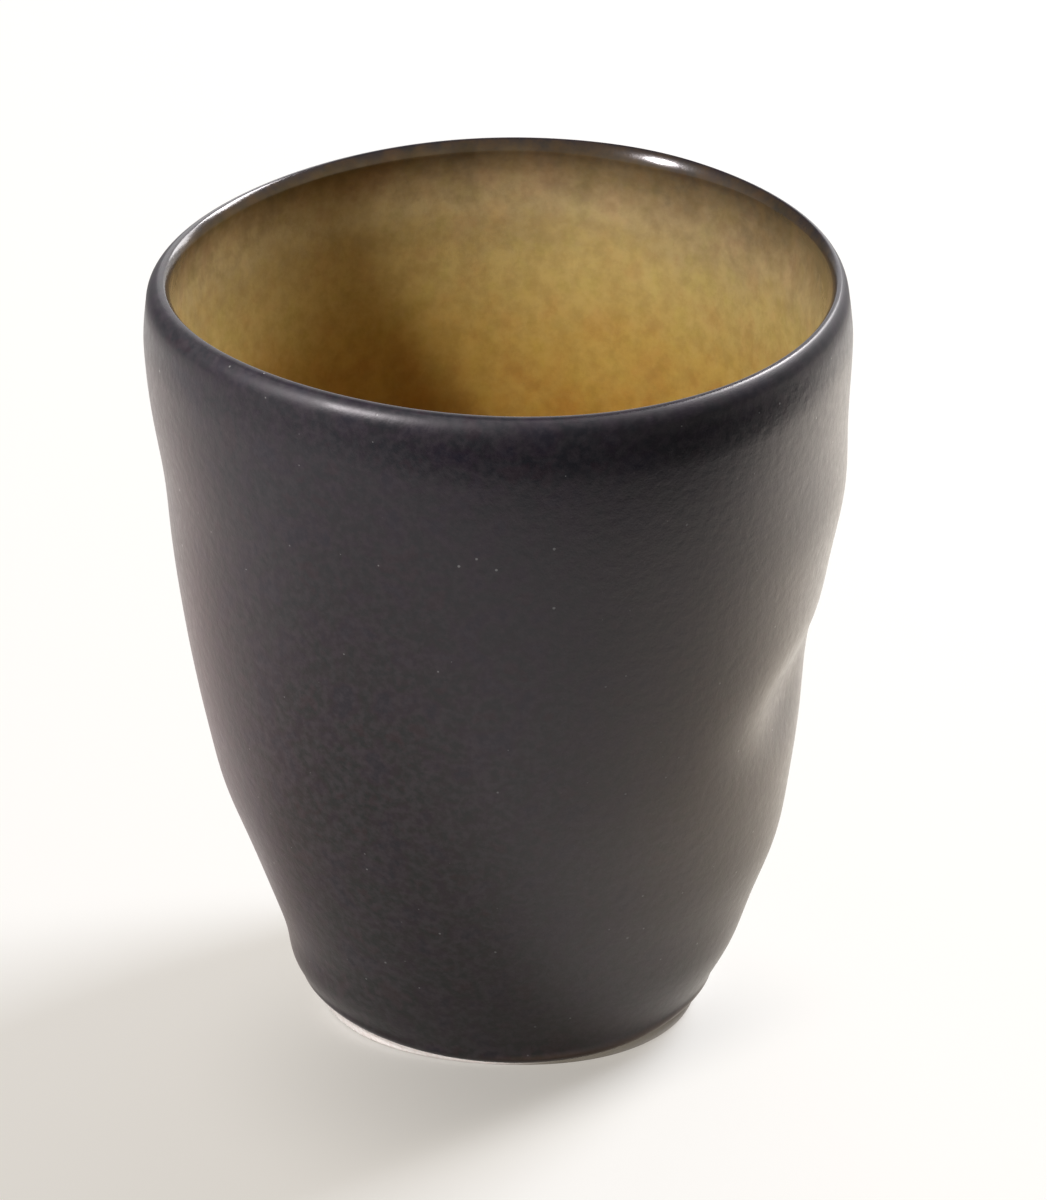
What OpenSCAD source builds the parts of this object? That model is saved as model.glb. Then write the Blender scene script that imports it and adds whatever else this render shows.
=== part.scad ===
// A hand-shaped stoneware drinking cup without a handle. It is one fired clay body with
// two glazes fused to it: a dark one outside, which rolls over the lip, and an amber one
// inside. Millimetres, +Z up. The cup stands on Z = 0, centred on the Z axis.
// Directions round the cup are degrees from +X, counterclockwise seen from above, and
// the front of the cup faces -Y, which is 270 degrees.

/* [Size] */
// Height from the table to the mean height of the lip
cup_h = 95; // [79:1:120]
// Thickness of the clay wall below the lip
wall_t = 3; // [2.4:0.1:4.5]
// Thickness of the clay floor above the recess of the foot
floor_t = 5; // [3.5:0.1:8]
// Radius of the inside corner between wall and floor
corner_r = 10; // [6:0.5:13]

/* [Outline] */
// Radius of the foot on the table
foot_r = 23; // [19:0.2:28]
// Height of the heel
heel_z = 4; // [3:0.1:5]
// Radius of the heel
heel_r = 24.6; // [20:0.2:30]
// Height of the hip
hip_z = 11; // [9:0.2:14]
// Radius of the hip
hip_r = 27.3; // [22:0.2:33]
// Height of the calf, where the lower wall straightens
calf_z = 24; // [20:0.2:29]
// Radius of the calf
calf_r = 31.8; // [26:0.2:39]
// Height of the belly, half-way up the wall
belly_z = 42; // [35:0.5:48]
// Radius of the belly
belly_r = 37; // [31:0.2:45]
// Drop from the lip to the chest
chest_drop = 25; // [20:0.5:30]
// Radius of the chest
chest_r = 41; // [34:0.2:50]
// Drop from the lip to the shoulder, the widest height
shoulder_drop = 8; // [6:0.2:12]
// Radius of the shoulder
shoulder_r = 42.7; // [35:0.1:52]
// Radius of the lip's outer edge
lip_r = 42.1; // [35:0.1:51]

/* [Lip] */
// Mean thickness of the clay at the lip
lip_t = 1.7; // [1.5:0.05:3]
// How much thinner the lip is on the right, and thicker on the left
lip_uneven = 0.4; // [0:0.05:0.4]
// Height over which the outside rounds over into the lip's crest
lip_round_h = 1.9; // [1:0.1:3]
// Mean width of the soft bevel between the crest and the inside wall
lip_edge_w = 0.5; // [0.4:0.05:0.6]
// How much wider the bevel is at the back, and narrower at the front
lip_edge_swing = 0.3; // [0:0.05:0.3]
// Height of the bevel for its width
lip_edge_steep = 1.25; // [0.8:0.05:1.6]
// Fullness of the bevel, from a flat chamfer at 1 to a round at 2
lip_edge_power = 1.2; // [1.1:0.1:2]
// Extra width of the bevel where a finger pressed the lip
lip_press_w = 0.3; // [0:0.05:0.35]
// Direction of the press
lip_press_dir = 64; // [45:1:135]
// Half-width of the press round the cup, in degrees
lip_press_half_turn = 13; // [8:1:30]
// Height over which the wall thickens below the lip
lip_taper = 9; // [5:0.5:15]
// Rise and fall of the lip in two waves round the cup
wave_two = 0.25; // [0:0.05:0.6]
// Direction of the first crest of the two waves
wave_two_dir = 82; // [0:1:180]
// Rise and fall of the lip in three waves round the cup
wave_three = 0.25; // [0:0.05:0.6]
// Direction of the first crest of the three waves
wave_three_dir = 100; // [0:1:120]

/* [Hand-made outline] */
// How far the lip's outline is oval
rim_oval = 0.25; // [0:0.05:1]
// Direction of the lip's long axis
rim_oval_dir = 85; // [0:1:180]
// How far the lip's outline has three soft corners
rim_corners = 0.55; // [0:0.05:1.5]
// Direction of the lip's first soft corner
rim_corner_dir = 60; // [0:1:120]
// How far the foot's outline has three soft corners
foot_corners = 0.55; // [0:0.05:1.2]
// Direction of the foot's first soft corner
foot_corner_dir = 90; // [0:1:120]
// Shift of the lip's centre along X from the foot's centre
lean = -0.6; // [-3:0.1:3]

/* [Groove] */
// Depth of the diagonal groove that a thumb pressed into the right front
groove_depth = 2.5; // [0:0.1:3]
// Direction of the groove's middle
groove_dir = 341; // [330:1:360]
// Height of the groove's middle
groove_z = 45.7; // [38:0.1:50]
// Half-width of the groove across its run
groove_half_w = 6.7; // [4:0.1:10]
// Half-length of the groove along its run
groove_half_l = 12; // [9:0.5:24]
// Slope of the groove's run, which falls towards the front
groove_slope = 8; // [0:1:60]

/* [Lumps] */
// Half-width of every lump and waist round the cup, in degrees
lump_half_turn = 32; // [20:1:50]
// Depth of the waist under the lip on the left
waist_depth = 0.4; // [0:0.05:1.5]
// Direction of the waist
waist_dir = 182; // [150:1:210]
// Drop from the lip to the waist
waist_drop = 24; // [15:0.5:30]
// Half-height of the waist
waist_half_h = 7; // [4:0.5:12]
// Rise of the shoulder lump above the groove
upper_rise = 0.9; // [0:0.05:2]
// Direction of the shoulder lump
upper_dir = 358; // [330:1:380]
// Drop from the lip to the shoulder lump
upper_drop = 26; // [18:0.5:32]
// Half-height of the shoulder lump
upper_half_h = 7; // [4:0.5:12]
// Rise of the lump under the groove
lower_rise = 1.85; // [0:0.05:3]
// Direction of the lump under the groove
lower_dir = 355; // [330:1:380]
// Height of the lump under the groove
lower_z = 22.5; // [15:0.5:30]
// Half-height of the lump under the groove
lower_half_h = 10; // [6:0.5:16]
// Rise of the hip lump on the left
hip_rise = 0.65; // [0:0.05:1.5]
// Direction of the hip lump
hip_dir = 180; // [150:1:210]
// Height of the hip lump
hip_lump_z = 30; // [22:0.5:38]
// Half-height of the hip lump
hip_half_h = 6.5; // [4:0.5:12]
// Rise of the left heel lump
left_heel_rise = 0.9; // [0:0.05:1.5]
// Direction of the left heel lump
left_heel_dir = 197; // [170:1:230]
// Height of the left heel lump
left_heel_z = 6.2; // [5:0.1:9]
// Half-height of the left heel lump
left_heel_half_h = 3.2; // [2.5:0.1:5]
// Rise of the right heel lump
right_heel_rise = 1.1; // [0:0.05:1.5]
// Direction of the right heel lump
right_heel_dir = 340; // [310:1:360]
// Height of the right heel lump
right_heel_z = 9.7; // [7:0.1:12]
// Half-height of the right heel lump
right_heel_half_h = 6; // [4:0.5:8]
// Rise of the toe, where the foot spreads on the right front
toe_rise = 0.9; // [0:0.05:1.5]
// Direction of the toe
toe_dir = 302; // [270:1:330]
// Height of the toe's middle
toe_z = 0.5; // [0:0.1:2]
// Half-height of the toe
toe_half_h = 2.5; // [1.5:0.1:4]

/* [Glaze] */
// Thickness of both glazes
glaze_t = 0.3; // [0.2:0.05:0.5]
// Least height of bare clay between the foot's bevel and the outer glaze
glaze_line_gap = 0.2; // [0.1:0.05:2]
// How much higher the outer glaze stops at the sides than at the front and back
glaze_line_rise = 2.6; // [0:0.1:3]
// How far the outer glaze comes down inside the lip, below the bevel
lip_band = 3; // [1.5:0.25:8]

/* [Foot] */
// Mean width of the flat ring that the cup stands on
ring_w = 4.5; // [3:0.25:8]
// Height of the recess inside the ring
recess_h = 1.5; // [0.8:0.1:2.5]
// Bevel round the outer edge of the foot
foot_bevel = 0.4; // [0.2:0.05:0.5]

/* [Hidden] */

// Facets round the cup, and rows of facets along each stretch of the wall
columns = 60;
outside_rows = 18;
lip_rows = 4;
bevel_rows = 4;
band_rows = 2;
inside_rows = 9;
corner_rows = 4;
outside_n = outside_rows + 1 + lip_rows + bevel_rows + band_rows;

// Heights inside the cup: the floor, and where the wall starts to round into it
floor_z = recess_h + floor_t;
bend_z = floor_z + corner_r;

// Mean height of the clay lip's crest, and the points of the even outline up to it
mean_crest_z = cup_h - glaze_t;
outline = [
    [0, foot_r],
    [heel_z, heel_r],
    [hip_z, hip_r],
    [calf_z, calf_r],
    [belly_z, belly_r],
    [cup_h - chest_drop, chest_r],
    [cup_h - shoulder_drop, shoulder_r],
    [mean_crest_z, lip_r]
];

// An angle brought into -180 to 180
function turn(a) = a - 360 * floor((a + 180) / 360);

// A smooth curve through points given as [position, value]
function slope_at(points, i) =
    let (before = points[max(i - 1, 0)], after = points[min(i + 1, len(points) - 1)])
    (after[1] - before[1]) / (after[0] - before[0]);
function curve(points, x) =
    let (
        i = max([for (k = [0 : len(points) - 2]) if (k == 0 || points[k][0] <= x) k]),
        span = points[i + 1][0] - points[i][0],
        t = (x - points[i][0]) / span,
        start = (2 * t * t * t - 3 * t * t + 1) * points[i][1],
        start_slope = (t * t * t - 2 * t * t + t) * span * slope_at(points, i),
        end = (3 * t * t - 2 * t * t * t) * points[i + 1][1],
        end_slope = (t * t * t - t * t) * span * slope_at(points, i + 1)
    )
    start + start_slope + end + end_slope;

// A soft lump that fades out by its half-height and the common half-width
function lump(a, z, dir, lump_z, half_h) =
    exp(-pow((z - lump_z) / half_h, 2) - pow(turn(a - dir) / lump_half_turn, 2));
function lumps(a, z) =
    upper_rise * lump(a, z, upper_dir, cup_h - upper_drop, upper_half_h)
    + lower_rise * lump(a, z, lower_dir, lower_z, lower_half_h)
    + hip_rise * lump(a, z, hip_dir, hip_lump_z, hip_half_h)
    + left_heel_rise * lump(a, z, left_heel_dir, left_heel_z, left_heel_half_h)
    + right_heel_rise * lump(a, z, right_heel_dir, right_heel_z, right_heel_half_h)
    + toe_rise * lump(a, z, toe_dir, toe_z, toe_half_h)
    - waist_depth * lump(a, z, waist_dir, cup_h - waist_drop, waist_half_h);

// The groove, measured across and along its sloping run on the wall
function groove(a, z) =
    let (
        round_way = turn(a - groove_dir) * PI / 180 * belly_r,
        up_way = z - groove_z,
        across = up_way * cos(groove_slope) - round_way * sin(groove_slope),
        along = round_way * cos(groove_slope) + up_way * sin(groove_slope)
    )
    groove_depth * exp(-pow(across / groove_half_w, 2) - pow(along / groove_half_l, 2));

// Radius of the glazed outside in direction a at height z of the even outline
function outer_r(a, z) =
    let (share = z / cup_h)
    curve(outline, z)
    + share * rim_oval * cos(2 * (a - rim_oval_dir))
    + share * rim_corners * cos(3 * (a - rim_corner_dir))
    + (1 - share) * foot_corners * cos(3 * (a - foot_corner_dir))
    + lumps(a, z)
    - groove(a, z);

// Height of the clay lip's crest in direction a, and where the outside rounds into it
function crest_z(a) =
    mean_crest_z
    + wave_two * cos(2 * (a - wave_two_dir))
    + wave_three * cos(3 * (a - wave_three_dir));
function round_z(a) = crest_z(a) - lip_round_h;

// Thickness of the clay lip, the width of its bevel, and the height of the bevel's foot
function lip_thick(a) = lip_t - lip_uneven * cos(a);
function edge_w(a) =
    lip_edge_w + lip_edge_swing * sin(a)
    + lip_press_w * exp(-pow(turn(a - lip_press_dir) / lip_press_half_turn, 2));
function edge_z(a) = crest_z(a) - lip_edge_steep * edge_w(a);

// Radius of the clay outside at true height z: the even outline stretched to the crest
function clay_r(a, z) = outer_r(a, z * mean_crest_z / crest_z(a)) - glaze_t;

// Radius of the clay inside, with the wall thickening from the lip down
function cavity_r(a, z) =
    let (
        depth = min(max((edge_z(a) - z) / lip_taper, 0), 1),
        ease = depth * depth * (3 - 2 * depth)
    )
    clay_r(a, z) - lip_thick(a) - (wall_t - lip_thick(a)) * ease;

// Height of the lower edge of the outer glaze in direction a
function line_z(a) =
    foot_bevel + glaze_line_gap + glaze_line_rise * (1 + cos(2 * a)) / 2;

// Runs of [radius, height] along the wall in direction a. Each is the clay surface
// where t = 0, and the surface of the glaze on it where t = glaze_t.
function below_line(a) = [
    [clay_r(a, 0) - foot_bevel, 0],
    [clay_r(a, foot_bevel), foot_bevel]
];
function up_outside(a, t) = [
    for (k = [0 : outside_rows])
        let (
            even = k / outside_rows,
            share = (even + (1 - cos(180 * even)) / 2) / 2,
            z = line_z(a) + (round_z(a) - line_z(a)) * share
        )
        [clay_r(a, z) + t, z]
];
function over_lip(a, t) = [
    for (k = [1 : lip_rows])
        let (
            w = 90 * k / lip_rows,
            inset = (lip_thick(a) - edge_w(a) + t) * (1 - cos(w))
        )
        [
            clay_r(a, round_z(a) + lip_round_h * sin(w)) + t - inset,
            round_z(a) + (lip_round_h + t) * sin(w)
        ]
];
function down_bevel(a, t) = [
    for (k = [1 : bevel_rows])
        let (
            w = 90 * k / bevel_rows,
            across = pow(sin(w), 2 / lip_edge_power),
            high = pow(cos(w), 2 / lip_edge_power),
            bevel_h = crest_z(a) - edge_z(a),
            inset = lip_thick(a) - edge_w(a) + (edge_w(a) + t) * across
        )
        [clay_r(a, edge_z(a) + bevel_h * high) - inset, edge_z(a) + (bevel_h + t) * high]
];
function down_band(a, t) = [
    for (k = [1 : band_rows])
        let (z = edge_z(a) - lip_band * k / band_rows)
        [cavity_r(a, z) - t, z]
];
function down_inside(a, t) = [
    for (k = [1 : inside_rows])
        let (top = edge_z(a) - lip_band, z = top - (top - bend_z) * k / inside_rows)
        [cavity_r(a, z) - t, z]
];
function round_corner(a, t) = [
    for (k = [1 : corner_rows])
        let (w = 90 * k / corner_rows, q = corner_r - t)
        [
            cavity_r(a, bend_z - corner_r * sin(w)) - corner_r + q * cos(w),
            bend_z - q * sin(w)
        ]
];

// The two runs that glaze covers: outside, over the lip and down its band; and inside
function outer_run(a, t) =
    concat(up_outside(a, t), over_lip(a, t), down_bevel(a, t), down_band(a, t));
function inner_run(a, t) = concat(down_inside(a, t), round_corner(a, t));
function band_end(a, t) = [down_band(a, t)[band_rows - 1]];

// A point of the cup before it is centred: the centre leans with height
function leaning(a, p) = [lean * p[1] / cup_h + p[0] * cos(a), p[0] * sin(a), p[1]];
directions = [for (j = [0 : columns - 1]) 360 * j / columns];

// The cup's widest points, and the shift that centres its box on the Z axis
rough = [for (a = directions) each [for (p = outer_run(a, glaze_t)) leaning(a, p)]];
rough_x = [for (p = rough) p[0]];
rough_y = [for (p = rough) p[1]];
shift = -[max(rough_x) + min(rough_x), max(rough_y) + min(rough_y), 0] / 2;

// A sheet is a flat list of points, direction by direction, each run in order
function sheet(runs) = [
    for (j = [0 : columns - 1]) each [for (p = runs[j]) leaning(directions[j], p) + shift]
];
function pole(z) = leaning(0, [0, z]) + shift;

// Triangles of a sheet whose runs have n points, which face outwards, or inwards where
// flip is true
function corner(base, n, j, k) = base + (j % columns) * n + k;
function sheet_faces(base, n, flip) = [
    for (j = [0 : columns - 1])
        for (k = [0 : n - 2])
            let (
                a = corner(base, n, j, k),
                b = corner(base, n, j + 1, k),
                c = corner(base, n, j + 1, k + 1),
                d = corner(base, n, j, k + 1)
            )
            each (flip ? [[a, c, d], [a, b, c]] : [[a, d, c], [a, c, b]])
];

// Triangles that close a sheet's row k onto one point
function fan(base, n, k, tip, flip) = [
    for (j = [0 : columns - 1])
        let (a = corner(base, n, j, k), b = corner(base, n, j + 1, k))
        flip ? [a, b, tip] : [b, a, tip]
];

// Triangles between row k of a front sheet and row k of the back sheet behind it
function edge_band(front, back, n, k, flip) = [
    for (j = [0 : columns - 1])
        let (
            a = corner(front, n, j, k),
            b = corner(front, n, j + 1, k),
            c = corner(back, n, j + 1, k),
            d = corner(back, n, j, k)
        )
        each (flip ? [[b, a, d], [b, d, c]] : [[a, b, c], [a, c, d]])
];

// The recess under the cup, which leaves the flat foot ring
module foot_recess() {
    recess_r = foot_r - ring_w;
    below = 1;
    translate(pole(0))
        rotate_extrude($fn = 96)
            polygon([
                [0, -below],
                [recess_r, -below],
                [recess_r, 0],
                [recess_r - recess_h, recess_h],
                [0, recess_h]
            ]);
}

// The fired clay: wall, lip, floor and foot in one piece
module clay_body() {
    runs = [for (a = directions) concat(below_line(a), outer_run(a, 0), inner_run(a, 0))];
    n = len(runs[0]);
    count = n * columns;
    color([0.86, 0.81, 0.76])
        difference() {
            polyhedron(
                points = concat(sheet(runs), [pole(0), pole(floor_z)]),
                faces = concat(
                    sheet_faces(0, n, false),
                    fan(0, n, 0, count, true),
                    fan(0, n, n - 1, count + 1, false)
                ),
                convexity = 6
            );
            foot_recess();
        }
}

// The dark glaze: outside, over the lip and a little way down inside it
module outer_glaze() {
    count = outside_n * columns;
    color([0.2, 0.19, 0.21])
        polyhedron(
            points = concat(
                sheet([for (a = directions) outer_run(a, glaze_t)]),
                sheet([for (a = directions) outer_run(a, 0)])
            ),
            faces = concat(
                sheet_faces(0, outside_n, false),
                sheet_faces(count, outside_n, true),
                edge_band(0, count, outside_n, 0, false),
                edge_band(0, count, outside_n, outside_n - 1, true)
            ),
            convexity = 6
        );
}

// The amber glaze: the inside from the dark band down, and the floor
module inner_glaze() {
    front = [for (a = directions) concat(band_end(a, glaze_t), inner_run(a, glaze_t))];
    back = [for (a = directions) concat(band_end(a, 0), inner_run(a, 0))];
    n = len(front[0]);
    count = n * columns;
    color([0.62, 0.47, 0.2])
        polyhedron(
            points = concat(
                sheet(front),
                sheet(back),
                [pole(floor_z + glaze_t), pole(floor_z)]
            ),
            faces = concat(
                sheet_faces(0, n, false),
                sheet_faces(count, n, true),
                edge_band(0, count, n, 0, false),
                fan(0, n, n - 1, 2 * count, false),
                fan(count, n, n - 1, 2 * count + 1, true)
            ),
            convexity = 6
        );
}

clay_body();
outer_glaze();
inner_glaze();
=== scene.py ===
import math

import bpy
import numpy as np
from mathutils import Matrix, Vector


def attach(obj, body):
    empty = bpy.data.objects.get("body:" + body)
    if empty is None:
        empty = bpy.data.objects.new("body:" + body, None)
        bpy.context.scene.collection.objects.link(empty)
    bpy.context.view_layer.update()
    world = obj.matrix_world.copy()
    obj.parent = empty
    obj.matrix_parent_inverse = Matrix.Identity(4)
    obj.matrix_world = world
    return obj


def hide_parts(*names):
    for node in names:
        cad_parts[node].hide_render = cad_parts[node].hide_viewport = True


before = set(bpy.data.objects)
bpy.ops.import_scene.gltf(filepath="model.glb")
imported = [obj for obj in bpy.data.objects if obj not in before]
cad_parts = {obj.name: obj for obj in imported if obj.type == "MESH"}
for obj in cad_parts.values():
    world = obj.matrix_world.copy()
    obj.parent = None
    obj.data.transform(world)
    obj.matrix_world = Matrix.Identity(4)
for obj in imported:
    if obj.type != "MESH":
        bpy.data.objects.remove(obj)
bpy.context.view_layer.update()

# Shape of the cup, in millimetres and degrees, as the CAD model has it.
# Directions run counterclockwise from +X, and the front is 270.
MM = 0.001
CUP_H = 95.0
WALL_T = 3.0
FLOOR_T = 5.0
CORNER_R = 10.0
# The lip: its thickness and how uneven that is, the height of its outer rounding, and the
# height in which the wall thickens below it
LIP_T = 1.7
LIP_UNEVEN = 0.4
LIP_ROUND_H = 1.9
LIP_TAPER = 9.0
# The lip's inner edge is bevelled, more at the back than at the front, and most at one press
LIP_EDGE_W = 0.5
LIP_EDGE_SWING = 0.3
LIP_EDGE_STEEP = 1.25
LIP_EDGE_POWER = 1.2
LIP_PRESS_W = 0.3
LIP_PRESS_DIR = 64.0
LIP_PRESS_HALF_TURN = 13.0
GLAZE_T = 0.3
CREST_Z = CUP_H - GLAZE_T
# The outside's outline: height of the even cup, and radius
OUTLINE = [
    (0, 23.0),
    (4, 24.6),
    (11, 27.3),
    (24, 31.8),
    (42, 37.0),
    (CUP_H - 25, 41.0),
    (CUP_H - 8, 42.7),
    (CREST_Z, 42.1),
]
# How far the lip stands sideways from the foot
LEAN = -0.6
# Waves of the lip's height, and of the lip's and the foot's outline: count, size, direction
LIP_WAVES = [(2, 0.25, 82), (3, 0.25, 100)]
RIM_WAVES = [(2, 0.25, 85), (3, 0.55, 60)]
FOOT_WAVES = [(3, 0.55, 90)]
# Soft lumps: direction, height, rise, half-height; all fade over the same half-width
LUMP_HALF_TURN = 32.0
LUMPS = [
    (358, CUP_H - 26, 0.9, 7),
    (355, 22.5, 1.85, 10),
    (180, 30, 0.65, 6.5),
    (197, 6.2, 0.9, 3.2),
    (340, 9.7, 1.1, 6),
    (302, 0.5, 0.9, 2.5),
    (182, CUP_H - 24, -0.4, 7),
]
# The diagonal groove on the right front
GROOVE_DEPTH = 2.5
GROOVE_DIR = 341.0
GROOVE_Z = 45.7
GROOVE_HALF_W = 6.7
GROOVE_HALF_L = 12.0
GROOVE_SLOPE = 8.0
BELLY_R = 37.0
# The foot, and where the glazes start and stop
RING_W = 4.5
RECESS_H = 1.5
FOOT_BEVEL = 0.4
LINE_GAP = 0.2
LINE_RISE = 2.6
LIP_BAND = 3.0
FLOOR_Z = RECESS_H + FLOOR_T
BEND_Z = FLOOR_Z + CORNER_R
# Outline of the foot ring's inner side: distance out from the ring's inner edge, and height
RING_SIDE = [
    (-RECESS_H - 0.6, RECESS_H),
    (-RECESS_H + 0.2, RECESS_H - 0.3),
    (-0.3, 0.3),
    (0.0, 0.1),
    (0.2, 0.0),
]

# How finely each stretch is modelled, from the foot's bevel up and over into the cup. The
# rows just above the glaze's lower edge fill the height EDGE_H.
COLUMNS = 288
FOOT_BEVEL_ROWS = 6
STRIP_ROWS = 11
EDGE_ROWS = 14
EDGE_H = 1.6
OUTSIDE_ROWS = 112
LIP_ROWS = 20
BEVEL_ROWS = 16
BAND_ROWS = 10
INSIDE_ROWS = 90
CORNER_ROWS = 16
# Edges that bend by more than this stay sharp
SHARP_ANGLE = 50.0
# The bead in which the outer glaze ends above the foot
BEAD_RISE = 0.22
BEAD_AT = 0.7
BEAD_HALF_W = 0.6
EDGE_ROUND = 0.35
EDGE_LEFT = 0.03


def turn(a):
    """An angle in degrees brought into -180 to 180."""
    return (a + 180) % 360 - 180


def smooth_curve(points, x):
    """A smooth curve through (position, value) points."""
    at, value = (np.array(column, float) for column in zip(*points))
    slope = np.empty_like(value)
    slope[1:-1] = (value[2:] - value[:-2]) / (at[2:] - at[:-2])
    slope[0] = (value[1] - value[0]) / (at[1] - at[0])
    slope[-1] = (value[-1] - value[-2]) / (at[-1] - at[-2])
    i = np.clip(np.searchsorted(at, x, side="right") - 1, 0, len(at) - 2)
    span = at[i + 1] - at[i]
    t = (x - at[i]) / span
    start = (2 * t**3 - 3 * t**2 + 1) * value[i] + (t**3 - 2 * t**2 + t) * span * slope[i]
    end = (3 * t**2 - 2 * t**3) * value[i + 1] + (t**3 - t**2) * span * slope[i + 1]
    return start + end


def waves(a, kinds):
    """Sum of waves round the cup, each (count, size, direction of a crest)."""
    return sum(size * np.cos(np.radians(n * (a - crest))) for n, size, crest in kinds)


def groove(a, z):
    """Depth of the diagonal groove, measured across and along its run on the wall."""
    round_way = np.radians(turn(a - GROOVE_DIR)) * BELLY_R
    up_way = z - GROOVE_Z
    c, s = math.cos(math.radians(GROOVE_SLOPE)), math.sin(math.radians(GROOVE_SLOPE))
    across = up_way * c - round_way * s
    along = round_way * c + up_way * s
    return GROOVE_DEPTH * np.exp(-((across / GROOVE_HALF_W) ** 2) - (along / GROOVE_HALF_L) ** 2)


def outer_r(a, z):
    """Radius of the glazed outside at direction a and height z of the even outline."""
    share = z / CUP_H
    r = smooth_curve(OUTLINE, z)
    r = r + share * waves(a, RIM_WAVES) + (1 - share) * waves(a, FOOT_WAVES)
    for lump_dir, lump_z, rise, half_h in LUMPS:
        fade = ((z - lump_z) / half_h) ** 2 + (turn(a - lump_dir) / LUMP_HALF_TURN) ** 2
        r = r + rise * np.exp(-fade)
    return r - groove(a, z)


def lip_thick(a):
    """Thickness of the clay lip."""
    return LIP_T - LIP_UNEVEN * np.cos(np.radians(a))


def crest_z(a):
    """Height of the clay lip's crest."""
    return CREST_Z + waves(a, LIP_WAVES)


def round_z(a):
    """Height at which the outside starts to round over into the lip."""
    return crest_z(a) - LIP_ROUND_H


def edge_w(a):
    """Width of the bevel between the crest and the inside wall."""
    press = LIP_PRESS_W * np.exp(-((turn(a - LIP_PRESS_DIR) / LIP_PRESS_HALF_TURN) ** 2))
    return LIP_EDGE_W + LIP_EDGE_SWING * np.sin(np.radians(a)) + press


def edge_z(a):
    """Height at which the bevel meets the inside wall."""
    return crest_z(a) - LIP_EDGE_STEEP * edge_w(a)


def clay_r(a, z):
    """Radius of the clay outside at true height z: the outline stretched to the crest."""
    return outer_r(a, z * CREST_Z / crest_z(a)) - GLAZE_T


def cavity_r(a, z):
    """Radius of the clay inside, with the wall thickening from the lip down."""
    depth = np.clip((edge_z(a) - z) / LIP_TAPER, 0, 1)
    thick = lip_thick(a)
    return clay_r(a, z) - thick - (WALL_T - thick) * depth**2 * (3 - 2 * depth)


def line_z(a):
    """Height of the outer glaze's lower edge."""
    return FOOT_BEVEL + LINE_GAP + LINE_RISE * (1 + np.cos(np.radians(2 * a))) / 2


def bead(d):
    """Thickness of the glaze at distance d from its edge, with its bead and rounding."""
    rounding = np.sqrt(1 - (1 - np.clip(d / EDGE_ROUND, EDGE_LEFT, 1)) ** 2)
    swell = BEAD_RISE * np.exp(-(((d - BEAD_AT) / BEAD_HALF_W) ** 2))
    return (GLAZE_T + swell) * rounding


directions = np.arange(COLUMNS)[None, :] * 360.0 / COLUMNS
# The two sides of the crest, as the sign of a point's depth below it
OUTSIDE, INSIDE = -1.0, 1.0


def rows_of(r, z, side=OUTSIDE):
    """Stacks rows of radii and heights into [row, direction, (r, z, side)]."""
    r, z, side = np.broadcast_arrays(r, z, side)
    return np.stack([r, z, side], -1)


def steps(count):
    """Equal steps up to 1, as a column: 1/count, 2/count and so on."""
    return np.arange(1, count + 1)[:, None] / count


def up_outside(glazed):
    """From the glaze's lower edge up to where the lip starts to round over."""
    a = directions
    edge = np.linspace(0, EDGE_H, EDGE_ROWS, endpoint=False)[:, None] + line_z(a)
    start = line_z(a) + EDGE_H
    even = np.linspace(0, 1, OUTSIDE_ROWS)[:, None]
    rest = start + (round_z(a) - start) * (even + (1 - np.cos(np.pi * even)) / 2) / 2
    z = np.concatenate([edge, rest])
    thick = bead(z - line_z(a)) if glazed else 0.0
    return rows_of(clay_r(a, z) + thick, z)


def over_lip(t):
    """A quarter ellipse up to the crest, then a soft bevel into the inside wall."""
    a = directions
    outer_w = lip_thick(a) - edge_w(a)
    w = np.pi / 2 * steps(LIP_ROWS)
    r = clay_r(a, round_z(a) + LIP_ROUND_H * np.sin(w)) + t - (outer_w + t) * (1 - np.cos(w))
    up = rows_of(r, round_z(a) + (LIP_ROUND_H + t) * np.sin(w))
    w = np.pi / 2 * steps(BEVEL_ROWS)
    across = np.sin(w) ** (2 / LIP_EDGE_POWER)
    high = np.cos(w).clip(0) ** (2 / LIP_EDGE_POWER)
    bevel_h = crest_z(a) - edge_z(a)
    r = clay_r(a, edge_z(a) + bevel_h * high) - outer_w - (edge_w(a) + t) * across
    return np.concatenate([up, rows_of(r, edge_z(a) + (bevel_h + t) * high, INSIDE)])


def down_band(t):
    """The stretch under the lip's inner edge, down to where the two glazes meet."""
    z = edge_z(directions) - LIP_BAND * steps(BAND_ROWS)
    return rows_of(cavity_r(directions, z) - t, z, INSIDE)


def down_inside(t):
    """From where the glazes meet down to the bend into the floor."""
    top = edge_z(directions) - LIP_BAND
    z = top - (top - BEND_Z) * steps(INSIDE_ROWS)
    return rows_of(cavity_r(directions, z) - t, z, INSIDE)


def round_corner(t):
    """The bend from the inside wall into the floor."""
    w = np.pi / 2 * steps(CORNER_ROWS)
    middle = cavity_r(directions, BEND_Z - CORNER_R * np.sin(w)) - CORNER_R
    q = CORNER_R - t
    return rows_of(middle + q * np.cos(w), BEND_Z - q * np.sin(w), INSIDE)


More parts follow.
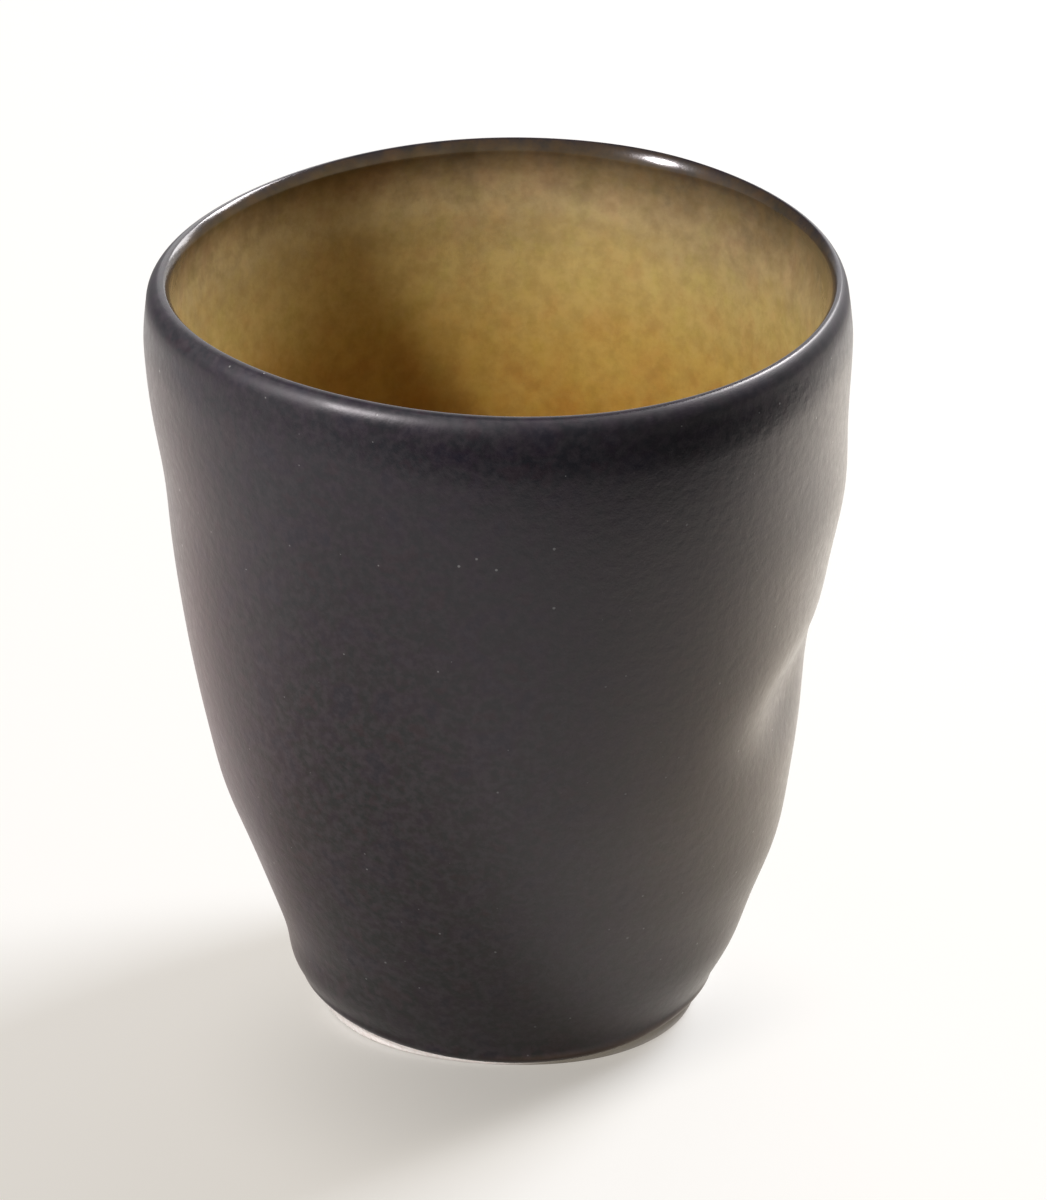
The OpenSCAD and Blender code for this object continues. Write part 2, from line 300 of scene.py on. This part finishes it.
def underside():
    """The recess, the foot ring and the bare clay below the glaze line."""
    a = directions
    ring_inner_r = np.full_like(a, OUTLINE[0][1] - RING_W)
    rows = [rows_of(ring_inner_r / 2, RECESS_H)]
    for out, z in RING_SIDE:
        rows.append(rows_of(ring_inner_r + out, z))
    for k in range(FOOT_BEVEL_ROWS + 1):
        w = math.pi / 2 * k / FOOT_BEVEL_ROWS
        z = FOOT_BEVEL * (1 - math.cos(w))
        inset = FOOT_BEVEL * (1 - math.sin(w))
        rows.append(rows_of(clay_r(a, z) - inset, z))
    z = FOOT_BEVEL + (line_z(a) - FOOT_BEVEL) * steps(STRIP_ROWS)[:-1]
    rows.append(rows_of(clay_r(a, z), z))
    return np.concatenate(rows)


def placed(run):
    """Points in the row frame before centring, in millimetres, as [row, direction, xyz]."""
    a = np.radians(directions)
    r, z = run[..., 0], run[..., 1]
    return np.stack([LEAN * z / CUP_H + r * np.cos(a), r * np.sin(a), z], -1)


def lip_depth(run):
    """How far points lie below the glazed crest: below zero outside, above zero inside."""
    return run[..., 2] * (crest_z(directions) + GLAZE_T - run[..., 1])


def line_rise(run):
    """How far points lie above the outer glaze's lower edge."""
    return run[..., 1] - line_z(directions)


glazed_run = np.concatenate([up_outside(True), over_lip(GLAZE_T), down_band(GLAZE_T)])
glazed_points = placed(glazed_run).reshape(-1, 3)
# What brings the middle of the cup's outline, seen from above, to the origin
SHIFT = -(glazed_points.max(0) + glazed_points.min(0)) / 2 * np.array([1, 1, 0])


class Shell:
    """Collects sheets, poles and bands of faces, and makes one closed mesh of them."""

    def __init__(self):
        self.points = []
        self.faces = []
        self.depths = []
        self.rises = []
        self.count = 0

    def add_quads(self, low, high, flip):
        """Adds the faces between two rows, given by the indices of their first points."""
        j = np.arange(COLUMNS)
        after = (j + 1) % COLUMNS
        quad = [low + j, low + after, high + after, high + j]
        self.faces.append(np.stack(quad[::-1] if flip else quad, -1))

    def sheet(self, run, flip=False):
        """Adds a sheet and returns (index of its first point, its number of rows)."""
        base, n = self.count, len(run)
        self.points.append((placed(run) + SHIFT).reshape(-1, 3))
        self.depths.append(lip_depth(run).reshape(-1))
        self.rises.append(line_rise(run).reshape(-1))
        self.count += n * COLUMNS
        for k in range(n - 1):
            self.add_quads(base + k * COLUMNS, base + (k + 1) * COLUMNS, flip)
        return base, n

    def pole(self, sheet, row, z, flip=False):
        """Closes a sheet's row onto one point on the cup's axis."""
        base, n = sheet
        start = base + (row % n) * COLUMNS
        self.points.append(np.array([[LEAN * z / CUP_H, 0, z]]) + SHIFT)
        self.depths.append(np.array([CUP_H - z]))
        self.rises.append(np.array([z - line_z(0)]))
        j = np.arange(COLUMNS)
        tri = [start + j, start + (j + 1) % COLUMNS, np.full(COLUMNS, self.count)]
        self.faces.append(np.stack(tri if flip else tri[::-1], -1))
        self.count += 1

    def band(self, front, back, row, flip=False):
        """Joins the same row of two sheets."""
        f = front[0] + (row % front[1]) * COLUMNS
        b = back[0] + (row % back[1]) * COLUMNS
        self.add_quads(f, b, not flip)

    def build(self, name, material):
        """Makes the piece, with the depths and rises that its material reads."""
        mesh = bpy.data.meshes.new(name)
        points = np.concatenate(self.points) * MM
        faces = [face.tolist() for block in self.faces for face in block]
        mesh.from_pydata(points.tolist(), [], faces)
        mesh.polygons.foreach_set("use_smooth", [True] * len(mesh.polygons))
        mesh.set_sharp_from_angle(angle=math.radians(SHARP_ANGLE))
        for value_name, values in (("lip_depth", self.depths), ("line_rise", self.rises)):
            attribute = mesh.attributes.new(value_name, "FLOAT", "POINT")
            attribute.data.foreach_set("value", np.concatenate(values).astype(np.float32))
        mesh.validate()
        mesh.materials.append(material)
        piece = bpy.data.objects.new(name, mesh)
        bpy.context.scene.collection.objects.link(piece)
        return piece


class Nodes:
    """A short way to build a node tree: most calls add one node and return its output."""

    def __init__(self, tree):
        self.tree = tree

    def add(self, kind, inputs=None, **settings):
        node = self.tree.nodes.new(kind)
        for key, value in settings.items():
            setattr(node, key, value)
        for key, value in (inputs or {}).items():
            if isinstance(value, bpy.types.NodeSocket):
                self.tree.links.new(value, node.inputs[key])
            else:
                node.inputs[key].default_value = value
        return node

    def math(self, operation, a, b=0.0, clamp=False):
        return self.add("ShaderNodeMath", {0: a, 1: b}, operation=operation, use_clamp=clamp).outputs[0]

    def vector(self, operation, a, b):
        return self.add("ShaderNodeVectorMath", {0: a, 1: b}, operation=operation).outputs["Vector"]

    def vector_value(self, operation, a, b):
        return self.add("ShaderNodeVectorMath", {0: a, 1: b}, operation=operation).outputs["Value"]

    def scaled(self, vector, share):
        return self.add("ShaderNodeVectorMath", {0: vector, "Scale": share}, operation="SCALE").outputs[0]

    def span(self, value, low, high, out_low=0.0, out_high=1.0, smooth=True):
        """Maps low to high onto out_low to out_high, and holds the ends."""
        node = self.add(
            "ShaderNodeMapRange",
            {"Value": value, "From Min": low, "From Max": high, "To Min": out_low, "To Max": out_high},
            interpolation_type="SMOOTHSTEP" if smooth else "LINEAR",
        )
        return node.outputs["Result"]

    def mix(self, factor, a, b, blend="MIX"):
        inputs = {0: factor, 6: a, 7: b}
        return self.add("ShaderNodeMix", inputs, data_type="RGBA", blend_type=blend).outputs[2]

    def noise(self, where, scale, detail, rough):
        """Noise with about scale waves to a millimetre."""
        inputs = {"Vector": where, "Scale": scale, "Detail": detail, "Roughness": rough}
        return self.add("ShaderNodeTexNoise", inputs).outputs["Fac"]

    def attribute(self, name):
        """A value that the mesh carries at its points."""
        node = self.add("ShaderNodeAttribute", attribute_type="GEOMETRY", attribute_name=name)
        return node.outputs["Fac"]

    def ramp(self, value, stops):
        """Colours along a value, given as (value, colour) stops in rising order."""
        low, high = stops[0][0], stops[-1][0]
        node = self.add("ShaderNodeValToRGB", {"Fac": self.span(value, low, high, smooth=False)})
        elements = node.color_ramp.elements
        for at, colour in stops[1:-1]:
            elements.new((at - low) / (high - low)).color = colour
        elements[0].color = stops[0][1]
        elements[-1].color = stops[-1][1]
        return node.outputs["Color"]

    def towards(self, turn_deg, inner, outer):
        """1 within inner degrees of the direction turn_deg, fading to 0 at outer degrees."""
        dot = self.vector_value("DOT_PRODUCT", self.level_direction(), direction(turn_deg, 0))
        return self.span(dot, math.cos(math.radians(outer)), math.cos(math.radians(inner)))

    def level_direction(self):
        """The level direction from the cup's axis to the point."""
        where = self.add("ShaderNodeTexCoord").outputs["Object"]
        flat = self.vector("MULTIPLY", where, (1, 1, 0))
        return self.add("ShaderNodeVectorMath", {0: flat}, operation="NORMALIZE").outputs[0]

    def millimetres(self):
        return self.scaled(self.add("ShaderNodeTexCoord").outputs["Object"], 1 / MM)

    def wall_place(self):
        """Place on the wall as if it were upright, in millimetres, without a seam."""
        around = self.scaled(self.level_direction(), BELLY_R)
        up = self.vector("MULTIPLY", self.millimetres(), (0, 0, 1))
        return self.vector("ADD", around, up)

    def bump(self, height, depth_mm):
        """A bump normal from a 0 to 1 height that stands depth_mm proud."""
        return self.add("ShaderNodeBump", {"Height": height, "Distance": depth_mm * MM}).outputs["Normal"]

    def finish(self, shader):
        """Makes the shader the material's surface."""
        out = self.add("ShaderNodeOutputMaterial")
        self.tree.links.new(shader.outputs[0], out.inputs["Surface"])


def direction(turn_deg, up_deg):
    """A unit vector from its turn round the cup and its elevation."""
    t, u = math.radians(turn_deg), math.radians(up_deg)
    return (math.cos(t) * math.cos(u), math.sin(t) * math.cos(u), math.sin(u))


def rgb(r, g, b):
    """A colour as written, 0 to 255, brought to linear values by the sRGB curve."""
    def linear(c):
        c = c / 255
        return c / 12.92 if c <= 0.04045 else ((c + 0.055) / 1.055) ** 2.4
    return (linear(r), linear(g), linear(b), 1.0)


def new_material(name):
    material = bpy.data.materials.new(name)
    material.use_nodes = True
    material.node_tree.nodes.clear()
    return material, Nodes(material.node_tree)


# The materials. Depths run down from the glazed crest and are below zero outside, rises run
# up from the outer glaze's lower edge, and both are in millimetres, as reliefs are. A _RANGE
# is of a noise's values. An _AT is a direction, and how far from it in degrees something is
# full and gone. A _SHARE is how much of a colour is mixed in, and a pair of them goes with
# the pair of depths, rises or noise values of that name.

# The range in which most values of a noise lie
NOISE_RANGE = (0.3, 0.7)
GLAZE_IOR = 1.5
CLAY_IOR = 1.45
# The glazes' relief: shares of its swell and of its finer grain
SWELL_SHARE = 0.7
FINE_SHARE = 0.3

# The amber glaze's colours by depth
AMBER = [
    (0, rgb(38, 35, 38)),
    (0.8, rgb(66, 58, 49)),
    (2, rgb(104, 90, 68)),
    (4, rgb(138, 118, 87)),
    (8, rgb(170, 149, 106)),
    (15, rgb(184, 160, 101)),
    (25, rgb(175, 144, 76)),
    (36, rgb(158, 119, 52)),
    (52, rgb(140, 97, 39)),
    (75, rgb(124, 84, 36)),
]
# How far its colours lie higher or lower, by streaks and by patches, as a share of their
# depth, and how much of that is left further down
STREAK_WANDER = 0.17
PATCH_WANDER = 0.18
WANDER_DEPTHS = (4, 18)
WANDER_LEFT = (1.0, 0.3)
# Where the dark band under the lip is wider, and where it is narrower, and by what share
BAND_WIDER_AT = (40, 5, 60)
BAND_WIDER_SHARE = (0.36, 0.0)
BAND_NARROWER_AT = (148, 8, 42)
BAND_NARROWER_SHARE = (0.3, 0.0)
BAND_DEPTHS = (4, 14)
# Its darker mottle, and its pinker and greener clouds, by the value of a noise
MOTTLE = rgb(104, 76, 34)
MOTTLE_RANGE = (0.32, 0.7)
MOTTLE_SHARE = (0.0, 0.26)
PINKER = (1.0, 0.945, 0.98, 1)
PINKER_RANGE = (0.5, 0.66)
GREENER = (0.97, 1.0, 0.92, 1)
GREENER_RANGE = (0.34, 0.48)
# Painted shade, which darkens the inside towards the right
RIGHT_SHADE = rgb(20, 16, 8)
RIGHT_SHADE_AT = (10, 0, 72)
RIGHT_SHADE_DEPTHS = (15, 40)
RIGHT_SHADE_SHARE = (0.25, 0.1)
AMBER_ROUGH = (0.16, 0.26)
AMBER_RELIEF = 0.05

# The dark glaze's colours by the value of a noise: bluish, plum, grey, greenish, brown
CHARCOAL = [
    (0.36, rgb(24, 22, 30)),
    (0.43, rgb(36, 25, 32)),
    (0.5, rgb(30, 27, 25)),
    (0.57, rgb(21, 27, 25)),
    (0.65, rgb(39, 26, 27)),
]
# It is bluer towards the lip, with a pale grain that is fainter there
BLUER = rgb(27, 24, 36)
BLUER_RISES = (25, 90)
BLUER_SHARE = (0.0, 0.5)
PALE_GRAIN = rgb(64, 57, 61)
PALE_GRAIN_RANGE = (0.36, 0.7)
PALE_GRAIN_RISES = (30, 80)
PALE_GRAIN_SHARE = (0.62, 0.3)
# Pale specks: how many fit beside each other in a millimetre, and as shares of the room that
# each has, the largest one's radius and its soft edge
SPECK = rgb(150, 148, 146)
SPECK_SCALE = 0.45
SPECK_R = 0.1
SPECK_SOFT = 0.04
SPECK_SHARE = 0.55
# Direction in which the glaze is thin above the foot, and the bare clay below it is stained and has
# painted shade
FRONT_RIGHT_DIR = 312.0
# Brown where the glaze runs thin at its lower edge
THIN = rgb(92, 68, 48)
THIN_AT = (FRONT_RIGHT_DIR, 15, 55)
THIN_RISES = (0.3, 1.6)
THIN_SHARE = (0.9, 0.0)
# Where the amber glaze starts to show through, just inside the crest
AMBER_DEPTHS = (-0.1, 0.25)
# The faint purple of its shine, how dull the wall is, and how much the grain changes that
GLAZE_SHEEN = (1.0, 0.93, 0.96, 1)
WALL_ROUGH = 0.32
GRAIN_ROUGH = 0.03
# How much duller the shoulder is, and less so at one place at the front
SHOULDER_DULLER = 0.22
SHOULDER_DEPTHS = (-4.0, -1.5)
GLINT_AT = (249, 3, 12)
GLINT_LESS = 0.12
# The most that the roughness may be, a little outside the crest and from the crest inwards
LIP_DEPTHS = (-0.35, 0.0)
LIP_ROUGH = (0.6, 0.17)
# Its relief, and how much of it is left at the lip, where it would break up the shine
DARK_RELIEF = 0.06
RELIEF_DEPTHS = (-2.0, -0.3)
RELIEF_LEFT = (1.0, 0.3)

# The bare clay, with its grain, its patches, and a stain with painted shade that is strongest under the
# glaze
CLAY = rgb(240, 232, 226)
CLAY_GRAIN = rgb(229, 216, 208)
CLAY_GRAIN_RANGE = (0.35, 0.7)
CLAY_PATCH = rgb(234, 218, 207)
CLAY_PATCH_RANGE = (0.4, 0.7)
CLAY_PATCH_SHARE = (0.0, 0.4)
STAIN_AND_SHADE = rgb(108, 100, 84)
STAIN_AND_SHADE_AT = (FRONT_RIGHT_DIR, 22, 48)
STAIN_AND_SHADE_RISES = (-3.5, -0.3)
STAIN_AND_SHADE_SHARE = 0.9
CLAY_ROUGH = 0.85
CLAY_RELIEF = 0.06


def inside_colour(n, depth):
    """The amber glaze: dark where it meets the lip, then sand, then warmer towards the floor."""
    streaks = n.noise(n.wall_place(), scale=0.55, detail=4, rough=0.55)
    patches = n.noise(n.millimetres(), scale=0.12, detail=3, rough=0.5)
    streaks = n.span(streaks, *NOISE_RANGE, -STREAK_WANDER, STREAK_WANDER)
    patches = n.span(patches, *NOISE_RANGE, -PATCH_WANDER, PATCH_WANDER)
    wander = n.math("ADD", streaks, patches)
    wander = n.math("MULTIPLY", wander, n.span(depth, *WANDER_DEPTHS, *WANDER_LEFT))
    drawn = n.math("MULTIPLY", depth, n.math("ADD", wander, 1.0))
    wider = n.span(depth, *BAND_DEPTHS, *BAND_WIDER_SHARE)
    wider = n.math("MULTIPLY", n.towards(*BAND_WIDER_AT), wider)
    narrower = n.span(depth, *BAND_DEPTHS, *BAND_NARROWER_SHARE)
    narrower = n.math("MULTIPLY", n.towards(*BAND_NARROWER_AT), narrower)
    drawn = n.math("MULTIPLY", drawn, n.math("ADD", narrower, n.math("SUBTRACT", 1.0, wider)))
    colour = n.ramp(drawn, AMBER)
    mottle = n.noise(n.millimetres(), scale=0.45, detail=5, rough=0.65)
    colour = n.mix(n.span(mottle, *MOTTLE_RANGE, *MOTTLE_SHARE), colour, MOTTLE)
    clouds = n.noise(n.millimetres(), scale=0.24, detail=4, rough=0.6)
    colour = n.mix(n.span(clouds, *PINKER_RANGE), colour, PINKER, blend="MULTIPLY")
    colour = n.mix(n.span(clouds, *GREENER_RANGE, 1.0, 0.0), colour, GREENER, blend="MULTIPLY")
    # Painted shade, darker towards the right side of the inside
    right_shade = n.span(depth, *RIGHT_SHADE_DEPTHS, *RIGHT_SHADE_SHARE)
    return n.mix(n.math("MULTIPLY", n.towards(*RIGHT_SHADE_AT), right_shade), colour, RIGHT_SHADE)


def glaze_relief(n, coarse_scale, fine_scale):
    """Orange peel: a gentle swell with a finer grain on it, 0 to 1."""
    swell = n.noise(n.millimetres(), coarse_scale, detail=2, rough=0.4)
    grain = n.noise(n.millimetres(), fine_scale, detail=3, rough=0.6)
    swell = n.math("MULTIPLY", swell, SWELL_SHARE)
    return n.math("ADD", swell, n.math("MULTIPLY", grain, FINE_SHARE))


def specks(n):
    """Small round dots, each of its own size: 1 in a dot and 0 round it."""
    dots = n.add("ShaderNodeTexVoronoi", {"Vector": n.millimetres(), "Scale": SPECK_SCALE})
    random_share = n.add("ShaderNodeSeparateColor", {0: dots.outputs["Color"]}).outputs[0]
    size = n.math("MULTIPLY", random_share, SPECK_R)
    return n.span(n.math("SUBTRACT", size, dots.outputs["Distance"]), 0.0, SPECK_SOFT)


def dark_glaze():
    material, n = new_material("dark_glaze")
    depth = n.attribute("lip_depth")
    rise = n.attribute("line_rise")
    tint = n.noise(n.millimetres(), scale=0.24, detail=4, rough=0.55)
    grain = n.noise(n.millimetres(), scale=0.95, detail=4, rough=0.6)
    colour = n.ramp(tint, CHARCOAL)
    colour = n.mix(n.span(rise, *BLUER_RISES, *BLUER_SHARE), colour, BLUER)
    grainy = n.span(rise, *PALE_GRAIN_RISES, *PALE_GRAIN_SHARE)
    grainy = n.math("MULTIPLY", n.span(grain, *PALE_GRAIN_RANGE), grainy)
    colour = n.mix(grainy, colour, PALE_GRAIN)
    colour = n.mix(n.math("MULTIPLY", specks(n), SPECK_SHARE), colour, SPECK)
    thin = n.math("MULTIPLY", n.span(rise, *THIN_RISES, *THIN_SHARE), n.towards(*THIN_AT))
    colour = n.mix(thin, colour, THIN)
    colour = n.mix(n.span(depth, *AMBER_DEPTHS), colour, inside_colour(n, depth))
    # Satin on the wall, duller on the shoulder and glossy over the lip
    less = n.math("MULTIPLY", n.towards(*GLINT_AT), GLINT_LESS)
    duller = n.math("SUBTRACT", SHOULDER_DULLER, less)
    rough = n.math("ADD", WALL_ROUGH, n.math("MULTIPLY", n.span(depth, *SHOULDER_DEPTHS), duller))
    rough = n.math("ADD", rough, n.span(grain, *NOISE_RANGE, -GRAIN_ROUGH, GRAIN_ROUGH))
    rough = n.math("MINIMUM", rough, n.span(depth, *LIP_DEPTHS, *LIP_ROUGH))
    relief = glaze_relief(n, coarse_scale=0.8, fine_scale=3.0)
    relief = n.math("MULTIPLY", relief, n.span(depth, *RELIEF_DEPTHS, *RELIEF_LEFT))
    shader = n.add(
        "ShaderNodeBsdfPrincipled",
        {
            "Base Color": colour,
            "Roughness": rough,
            "IOR": GLAZE_IOR,
            "Specular Tint": GLAZE_SHEEN,
            "Normal": n.bump(relief, DARK_RELIEF),
        },
    )
    n.finish(shader)
    return material


def amber_glaze():
    material, n = new_material("amber_glaze")
    gloss = n.noise(n.millimetres(), scale=0.5, detail=3, rough=0.5)
    relief = glaze_relief(n, coarse_scale=0.5, fine_scale=2.0)
    shader = n.add(
        "ShaderNodeBsdfPrincipled",
        {
            "Base Color": inside_colour(n, n.attribute("lip_depth")),
            "Roughness": n.span(gloss, *NOISE_RANGE, *AMBER_ROUGH),
            "IOR": GLAZE_IOR,
            "Normal": n.bump(relief, AMBER_RELIEF),
        },
    )
    n.finish(shader)
    return material


def bare_clay():
    material, n = new_material("bare_clay")
    grain = n.noise(n.millimetres(), scale=1.8, detail=3, rough=0.6)
    patches = n.noise(n.millimetres(), scale=0.25, detail=3, rough=0.5)
    colour = n.mix(n.span(grain, *CLAY_GRAIN_RANGE), CLAY, CLAY_GRAIN)
    colour = n.mix(n.span(patches, *CLAY_PATCH_RANGE, *CLAY_PATCH_SHARE), colour, CLAY_PATCH)
    # Stain and painted shade on the bare clay just under the glaze at the front right
    near_glaze = n.span(n.attribute("line_rise"), *STAIN_AND_SHADE_RISES)
    stained_and_shaded = n.math("MULTIPLY", n.towards(*STAIN_AND_SHADE_AT), near_glaze)
    colour = n.mix(n.math("MULTIPLY", stained_and_shaded, STAIN_AND_SHADE_SHARE), colour, STAIN_AND_SHADE)
    relief = n.noise(n.millimetres(), scale=3.0, detail=3, rough=0.6)
    shader = n.add(
        "ShaderNodeBsdfPrincipled",
        {
            "Base Color": colour,
            "Roughness": CLAY_ROUGH,
            "IOR": CLAY_IOR,
            "Normal": n.bump(relief, CLAY_RELIEF),
        },
    )
    n.finish(shader)
    return material


def make_clay():
    shell = Shell()
    stretches = [underside(), up_outside(False), over_lip(0.0), down_band(0.0)]
    stretches += [down_inside(0.0), round_corner(0.0)]
    sheet = shell.sheet(np.concatenate(stretches))
    shell.pole(sheet, 0, RECESS_H)
    shell.pole(sheet, -1, FLOOR_Z, flip=True)
    return shell.build("clay_body_visual", bare_clay())


def make_outer_glaze():
    shell = Shell()
    front = shell.sheet(glazed_run)
    back_run = np.concatenate([up_outside(False), over_lip(0.0), down_band(0.0)])
    back = shell.sheet(back_run, flip=True)
    shell.band(front, back, 0)
    shell.band(front, back, -1, flip=True)
    return shell.build("outer_glaze_visual", dark_glaze())


def make_inner_glaze():
    shell = Shell()
    front_run = np.concatenate([down_band(GLAZE_T)[-1:], down_inside(GLAZE_T), round_corner(GLAZE_T)])
    back_run = np.concatenate([down_band(0.0)[-1:], down_inside(0.0), round_corner(0.0)])
    front = shell.sheet(front_run)
    back = shell.sheet(back_run, flip=True)
    shell.band(front, back, 0)
    shell.pole(front, -1, FLOOR_Z + GLAZE_T, flip=True)
    shell.pole(back, -1, FLOOR_Z)
    return shell.build("inner_glaze_visual", amber_glaze())


pieces = []
for make, node, slot in (
    (make_clay, "clay_body", "bare_clay"),
    (make_outer_glaze, "outer_glaze", "dark_glaze"),
    (make_inner_glaze, "inner_glaze", "amber_glaze"),
):
    piece = make()
    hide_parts(node)
    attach(piece, "root")
    pieces.append(piece)


# Camera: where the photograph's view comes from, in millimetres, degrees and pixels.
# The aim is measured from the middle of the foot.
VIEW_DISTANCE = 1200.0
VIEW_ELEVATION = 25.6
VIEW_AIM = (1.96, 0.0, 52.02)
FOCAL_PIXELS = 9889.5
IMAGE_LONG_SIDE = 1200
SENSOR = 36.0
NEAR_CLIP_M = 0.05

# Floor: half its side in metres, its own colour, and the glow that the camera and
# reflections see
FLOOR_HALF_M = 3.0
FLOOR_COLOUR = (0.36, 0.375, 0.4, 1)
GLOW_COLOUR = (1.0, 0.937, 0.848)
FLOOR_GLOW = 0.637
# Where the floor fades out into the backdrop, in millimetres from a point behind the cup
FLOOR_MIDDLE = (-150, 230, 0)
FLOOR_FADE = (390, 510)
BACKDROP_COLOUR = (0.995, 0.975, 0.94, 1)
# Spots of the floor that only reflections see as brighter or darker: middle, the distances
# from it in millimetres between which they fade, and what they add to the glow's colour
MIRROR_SPOTS = [
    ((150, 90, 0), 50, 165, (1.05, 0.91, 0.73)),
    ((70, -50, 0), 10, 80, (0.28, 0.23, 0.14)),
    ((-150, 110, 0), 30, 130, (0.36, 0.24, 0.2)),
    ((-45, -30, 0), 5, 60, (-0.2, -0.18, -0.154)),
    ((-80, 35, 0), 20, 90, (0.06, -0.06, -0.06)),
    ((85, 0, 0), 20, 90, (0.07, -0.01, -0.11)),
]
# The key lamp's direction
KEY_DIR = 38
# Soft shade round the foot: its middle, between which distances it fades, and how much glow
# it takes. On the side where the cup's shadow ends, square to the key lamp's direction, it
# also fades between two distances from the cup's axis.
SHADE_MIDDLE = (5, -22, 0)
SHADE_REACH = (4, 46)
SHADE_LEVEL = 0.21
SHADE_SIDE_DIR = KEY_DIR - 90
SHADE_SIDE_EDGE = (24, 38)
# Sky: an even level, and lobes as direction, elevation, half-angle and level
SKY_LEVEL = 0.09
SKY_LOBES = [(80, 15, 50, 1.3), (205, 8, 50, 0.35)]


def make_camera():
    data = bpy.data.cameras.new("camera")
    data.sensor_width = SENSOR
    data.lens = FOCAL_PIXELS / IMAGE_LONG_SIDE * SENSOR
    data.clip_start = NEAR_CLIP_M
    camera = bpy.data.objects.new("camera", data)
    back = Vector(direction(-90, VIEW_ELEVATION))
    aim = Vector(VIEW_AIM) + Vector(SHIFT)
    camera.location = (aim + back * VIEW_DISTANCE) * MM
    camera.rotation_mode = "QUATERNION"
    camera.rotation_quaternion = (-back).to_track_quat("-Z", "Y")
    bpy.context.scene.collection.objects.link(camera)
    bpy.context.scene.camera = camera


def floor_glow(n):
    """The colour of the floor's glow, which only the camera and reflections see."""
    ray = n.add("ShaderNodeLightPath")
    mirrored = ray.outputs["Is Glossy Ray"]
    seen = n.math("ADD", ray.outputs["Is Camera Ray"], mirrored, clamp=True)
    place = n.millimetres()
    from_foot = n.vector_value("DISTANCE", place, SHADE_MIDDLE)
    beside = n.vector_value("DOT_PRODUCT", place, direction(SHADE_SIDE_DIR, 0))
    shade = n.span(from_foot, *SHADE_REACH, SHADE_LEVEL, 0.0)
    shade = n.math("MULTIPLY", shade, n.span(beside, *SHADE_SIDE_EDGE, 1.0, 0.0))
    level = n.math("MULTIPLY", seen, n.math("SUBTRACT", FLOOR_GLOW, shade))
    colour = n.scaled(GLOW_COLOUR, level)
    for middle, inner, outer, tint in MIRROR_SPOTS:
        away = n.vector_value("DISTANCE", place, middle)
        share = n.math("MULTIPLY", mirrored, n.span(away, inner, outer, 1.0, 0.0))
        colour = n.vector("ADD", colour, n.scaled(tint, share))
    return colour


def make_floor():
    """A pale floor that fades out all round, so that the backdrop shows past it."""
    size = FLOOR_HALF_M
    mesh = bpy.data.meshes.new("floor")
    corners = [(-size, -size, 0), (size, -size, 0), (size, size, 0), (-size, size, 0)]
    mesh.from_pydata(corners, [], [(0, 1, 2, 3)])
    floor = bpy.data.objects.new("floor", mesh)
    bpy.context.scene.collection.objects.link(floor)
    material, n = new_material("floor")
    diffuse = n.add("ShaderNodeBsdfDiffuse", {"Color": FLOOR_COLOUR})
    glow = n.add("ShaderNodeEmission", {"Color": floor_glow(n), "Strength": 1.0})
    both = n.add("ShaderNodeAddShader", {0: diffuse.outputs[0], 1: glow.outputs[0]})
    clear = n.add("ShaderNodeBsdfTransparent")
    far = n.span(n.vector_value("DISTANCE", n.millimetres(), FLOOR_MIDDLE), *FLOOR_FADE)
    n.finish(n.add("ShaderNodeMixShader", {0: far, 1: both.outputs[0], 2: clear.outputs[0]}))
    mesh.materials.append(material)


def make_light(name, turn_deg, up_deg, distance, spread, level, receivers=None):
    """A square softbox facing the cup, given by its direction, its distance in metres, its
    width seen from the cup in degrees, and how bright it makes a white surface that faces
    it. Where it has receivers, it lights only them."""
    data = bpy.data.lights.new(name, "AREA")
    data.shape = "SQUARE"
    data.size = 2 * distance * math.tan(math.radians(spread / 2))
    # A small softbox of energy E makes such a surface E / (pi * distance)**2 bright
    data.energy = level * math.pi**2 * distance**2
    light = bpy.data.objects.new(name, data)
    middle = Vector((0, 0, CUP_H / 2 * MM))
    away = Vector(direction(turn_deg, up_deg))
    light.location = middle + away * distance
    light.rotation_mode = "QUATERNION"
    light.rotation_quaternion = (-away).to_track_quat("-Z", "Y")
    bpy.context.scene.collection.objects.link(light)
    if receivers:
        lit = bpy.data.collections.new(f"{name}_receivers")
        for piece in receivers:
            lit.objects.link(piece)
        light.light_linking.receiver_collection = lit


def make_world():
    """Soft light from low behind and from the left; white where the camera looks past the floor."""
    world = bpy.data.worlds.new("world")
    bpy.context.scene.world = world
    world.use_nodes = True
    world.node_tree.nodes.clear()
    n = Nodes(world.node_tree)
    toward = n.add("ShaderNodeTexCoord").outputs["Generated"]
    level = SKY_LEVEL
    for turn_deg, up_deg, half_angle, strength in SKY_LOBES:
        dot = n.vector_value("DOT_PRODUCT", toward, direction(turn_deg, up_deg))
        level = n.math("ADD", n.span(dot, math.cos(math.radians(half_angle)), 1.0, 0.0, strength), level)
    grey = n.add("ShaderNodeCombineColor", {0: level, 1: level, 2: level}).outputs[0]
    ray = n.add("ShaderNodeLightPath")
    seen = n.math("ADD", ray.outputs["Is Camera Ray"], ray.outputs["Is Transmission Ray"], clamp=True)
    colour = n.mix(seen, grey, BACKDROP_COLOUR)
    back = n.add("ShaderNodeBackground", {"Color": colour, "Strength": 1.0})
    n.add("ShaderNodeOutputWorld", {"Surface": back.outputs[0]})


make_camera()
make_floor()
make_world()
# The key lights everything, the second and third only the cup, and the last one only the
# clay, whose bare strip lies in the cup's own shade
make_light("key", KEY_DIR, 44, distance=1.6, spread=20, level=1.22)
make_light("second", 208, 44, distance=1.5, spread=7, level=1.29, receivers=pieces)
make_light("third", 52, 23, distance=1.5, spread=16, level=0.2, receivers=pieces)
make_light("foot", 265, 12, distance=1.5, spread=20, level=0.85, receivers=pieces[:1])
bpy.context.scene.view_settings.view_transform = "Standard"
